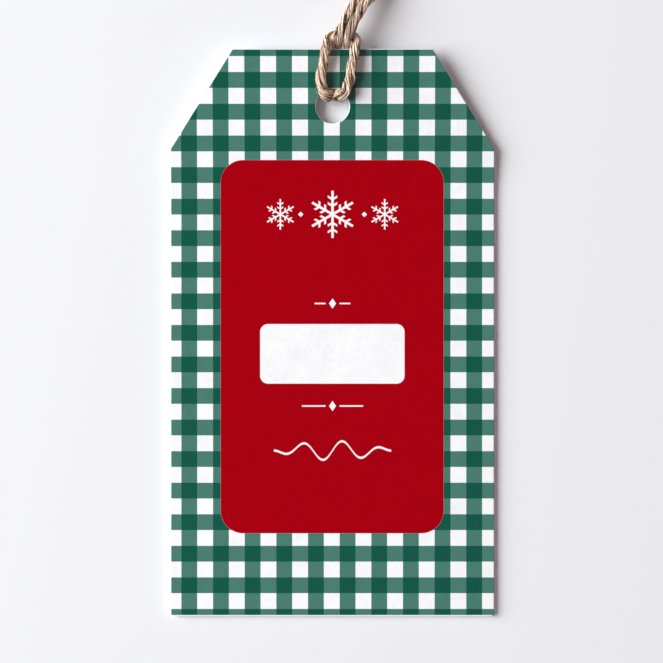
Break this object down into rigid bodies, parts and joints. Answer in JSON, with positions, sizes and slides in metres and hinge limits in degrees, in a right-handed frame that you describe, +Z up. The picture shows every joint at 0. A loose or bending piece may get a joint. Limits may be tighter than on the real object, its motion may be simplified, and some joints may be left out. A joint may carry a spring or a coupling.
{
  "type": "gift tag",
  "caption": "Oblong card gift tag with clipped top corners, gingham print, name field and punched hole, hitched on jute twine for tying to a present.",
  "frame": {"origin": "centre of the card, on the surface that the tag lies on", "axes": "+X across the card, +Y along the card towards its hole, +Z up out of the printed face"},
  "size_m": [0.0508, 0.1203, 0.0047],
  "materials": {
    "printed_card": "matt uncoated card with a printed green gingham and a red panel",
    "plain_card": "matt uncoated white card",
    "jute_twine": "natural twisted jute, hairy"
  },
  "bodies": {
    "tag": {"front_sheet": "printed_card", "back_sheet": "plain_card", "twine_hitch": "jute_twine"},
    "left_twine_end": {"left_tail": "jute_twine", "left_coil": "jute_twine"},
    "right_twine_end": {"right_tail": "jute_twine", "right_coil": "jute_twine"}
  },
  "joints": [
    {"name": "left_twine_lift", "type": "hinge", "parent": "tag", "child": "left_twine_end", "pos_m": [0.0015, 0.04731, 0.00206], "axis": [1, 0, 0], "range_deg": [0, 125]},
    {"name": "right_twine_lift", "type": "hinge", "parent": "tag", "child": "right_twine_end", "pos_m": [0.0015, 0.04731, 0.00206], "axis": [1, 0, 0], "range_deg": [0, 125]}
  ]
}
